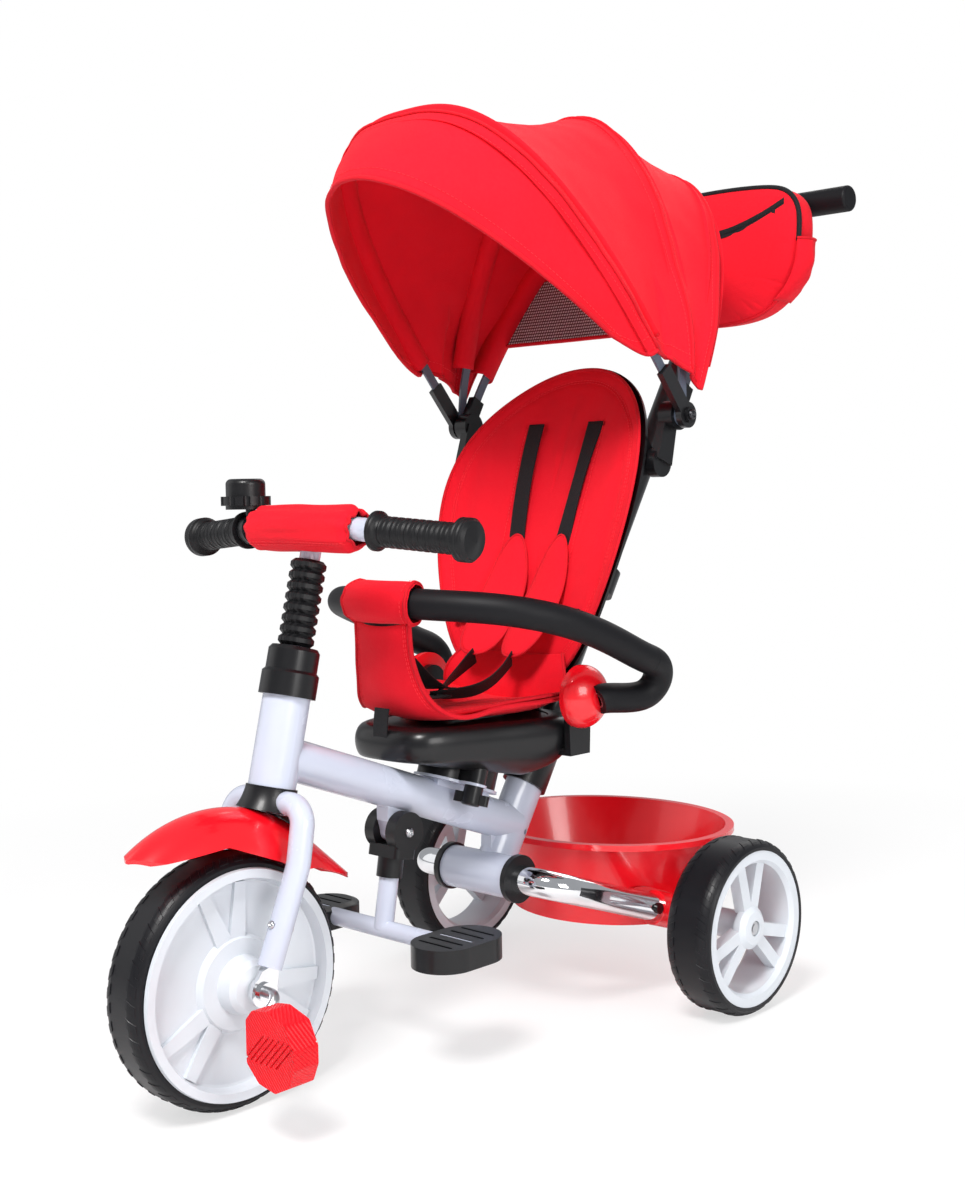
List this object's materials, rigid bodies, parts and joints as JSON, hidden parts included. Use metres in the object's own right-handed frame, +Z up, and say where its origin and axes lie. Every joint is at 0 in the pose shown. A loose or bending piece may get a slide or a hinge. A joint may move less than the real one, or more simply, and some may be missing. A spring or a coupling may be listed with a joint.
{
  "type": "children's tricycle",
  "caption": "Children's push tricycle with raked fork and pedals, parent handle with bag, folding canopy, padded seat with guard bar, footrest and rear basket.",
  "frame": {"origin": "on the floor under the middle of the tricycle's length and width", "axes": "+Z up, -Y to the front wheel, +X to the child's left"},
  "size_m": [0.51, 1.053, 1.0705],
  "materials": {
    "white_paint": "satin white enamel",
    "black_paint": "satin black enamel",
    "grey_paint": "satin grey enamel",
    "chrome": "mirror plated",
    "steel": "zinc plated",
    "white_plastic": "fine grained",
    "red_plastic": "gloss",
    "black_plastic": "semi-gloss moulded",
    "foam_rubber": "closed foam",
    "grip_rubber": "ribbed",
    "eva_tyre": "moulded foam tyre",
    "red_fabric": "woven polyester",
    "black_webbing": "woven strap"
  },
  "bodies": {
    "frame": {"main_frame": "white_paint", "rear_yoke": "chrome", "sleeve_bushes": "black_plastic", "axle_beam": "red_plastic", "rear_axle": "steel", "axle_caps": "steel", "yoke_plugs": "black_plastic", "basket": "red_plastic", "saddle": "black_plastic", "pole_collar": "black_plastic", "backrest_shell": "black_plastic", "back_bracket": "black_plastic", "backrest_pad": "red_fabric", "seat_pad": "red_fabric", "seat_apron": "red_fabric", "guard_ears": "black_plastic", "harness": "black_webbing", "head_cap": "black_plastic", "head_ring_lower": "black_plastic"},
    "brake_left": {"brake_lever_left": "black_plastic"},
    "brake_right": {"brake_lever_right": "black_plastic"},
    "rear_wheel_left": {"rear_tyre_left": "eva_tyre", "rear_rim_left": "white_plastic"},
    "rear_wheel_right": {"rear_tyre_right": "eva_tyre", "rear_rim_right": "white_plastic"},
    "knob": {"saddle_knob": "black_plastic"},
    "guard": {"guard_domes": "red_plastic", "guard_bar": "steel", "guard_foam": "foam_rubber", "guard_sleeve": "red_fabric"},
    "steering": {"fork": "white_paint", "fork_tips": "chrome", "crown_cover": "black_plastic", "fender": "red_plastic", "handlebar": "white_paint", "grip_left": "grip_rubber", "grip_right": "grip_rubber", "bar_cover": "red_fabric", "bellows": "grip_rubber", "bell_base": "black_plastic"},
    "bell": {"bell_dome": "black_plastic"},
    "front_wheel": {"front_tyre": "eva_tyre", "front_rim": "white_plastic", "crank_axle": "steel"},
    "left_pedal": {"pedal_left": "red_plastic"},
    "right_pedal": {"pedal_right": "red_plastic"},
    "footrest": {"footrest_hub": "black_plastic", "footrest_frame": "white_paint", "footrest_pads": "black_plastic"},
    "push_handle": {"push_pole": "black_paint", "handle_foam": "foam_rubber", "parent_bag": "red_fabric"},
    "canopy_links": {"canopy_arms": "black_plastic", "canopy_bow_rear": "grey_paint", "canopy_curtain": "red_fabric", "canopy_panel_rear": "red_fabric"},
    "canopy_middle": {"canopy_bow_middle": "grey_paint"},
    "canopy_front": {"canopy_bow_front": "grey_paint", "canopy_panel_front": "red_fabric", "canopy_visor": "red_fabric"}
  },
  "joints": [
    {"name": "steer", "type": "hinge", "parent": "frame", "child": "steering", "pos_m": [0, -0.333, 0.315], "axis": [0, 0.2436, 0.9699], "range_deg": [-35, 35]},
    {"name": "bell_twist", "type": "hinge", "parent": "steering", "child": "bell", "pos_m": [-0.1015, -0.277, 0.604], "axis": [0, 0, 1], "range_deg": [0, 30], "stiffness_Nm_per_rad": 0.05},
    {"name": "front_wheel_spin", "type": "hinge", "parent": "steering", "child": "front_wheel", "pos_m": [0, -0.3985, 0.128], "axis": [1, 0, 0], "continuous": true},
    {"name": "left_pedal_spin", "type": "hinge", "parent": "front_wheel", "child": "left_pedal", "pos_m": [0, -0.42987, 0.09436], "axis": [1, 0, 0], "continuous": true},
    {"name": "right_pedal_spin", "type": "hinge", "parent": "front_wheel", "child": "right_pedal", "pos_m": [0, -0.36713, 0.16164], "axis": [1, 0, 0], "continuous": true},
    {"name": "left_rear_wheel_spin", "type": "hinge", "parent": "frame", "child": "rear_wheel_left", "pos_m": [0, 0.173, 0.102], "axis": [1, 0, 0], "continuous": true},
    {"name": "right_rear_wheel_spin", "type": "hinge", "parent": "frame", "child": "rear_wheel_right", "pos_m": [0, 0.173, 0.102], "axis": [1, 0, 0], "continuous": true},
    {"name": "left_brake_press", "type": "hinge", "parent": "frame", "child": "brake_left", "pos_m": [0, 0.198, 0.096], "axis": [-1, 0, 0], "range_deg": [0, 18]},
    {"name": "right_brake_press", "type": "hinge", "parent": "frame", "child": "brake_right", "pos_m": [0, 0.198, 0.096], "axis": [-1, 0, 0], "range_deg": [0, 18]},
    {"name": "knob_turn", "type": "hinge", "parent": "frame", "child": "knob", "pos_m": [0.046, -0.07981, 0.28288], "axis": [0, 0.3412, 0.94], "continuous": true},
    {"name": "guard_lift", "type": "hinge", "parent": "frame", "child": "guard", "pos_m": [0, 0.017, 0.381], "axis": [-1, 0, 0], "range_deg": [0, 55], "deforming": ["seat_apron"]},
    {"name": "footrest_fold", "type": "hinge", "parent": "frame", "child": "footrest", "pos_m": [0, -0.162, 0.241], "axis": [1, 0, 0], "range_deg": [0, 45]},
    {"name": "push_handle_slide", "type": "slide", "parent": "frame", "child": "push_handle", "axis": [0, 0.5282, 0.8491], "range_m": [0, 0.08]},
    {"name": "canopy_tilt", "type": "hinge", "parent": "frame", "child": "canopy_links", "pos_m": [0, 0.126, 0.645], "axis": [-1, 0, 0], "range_deg": [-12, 10]},
    {"name": "canopy_middle_fold", "type": "hinge", "parent": "canopy_links", "child": "canopy_middle", "pos_m": [0, 0.141, 0.699], "axis": [-1, 0, 0], "range_deg": [0, 20], "deforming": ["canopy_panel_rear"]},
    {"name": "canopy_front_fold", "type": "hinge", "parent": "canopy_middle", "child": "canopy_front", "pos_m": [0, 0.141, 0.699], "axis": [-1, 0, 0], "range_deg": [0, 40], "deforming": ["canopy_panel_front"]}
  ],
  "couplings": [
    {"joint": "canopy_middle_fold", "follows": "canopy_front_fold", "ratio": 0.5}
  ]
}
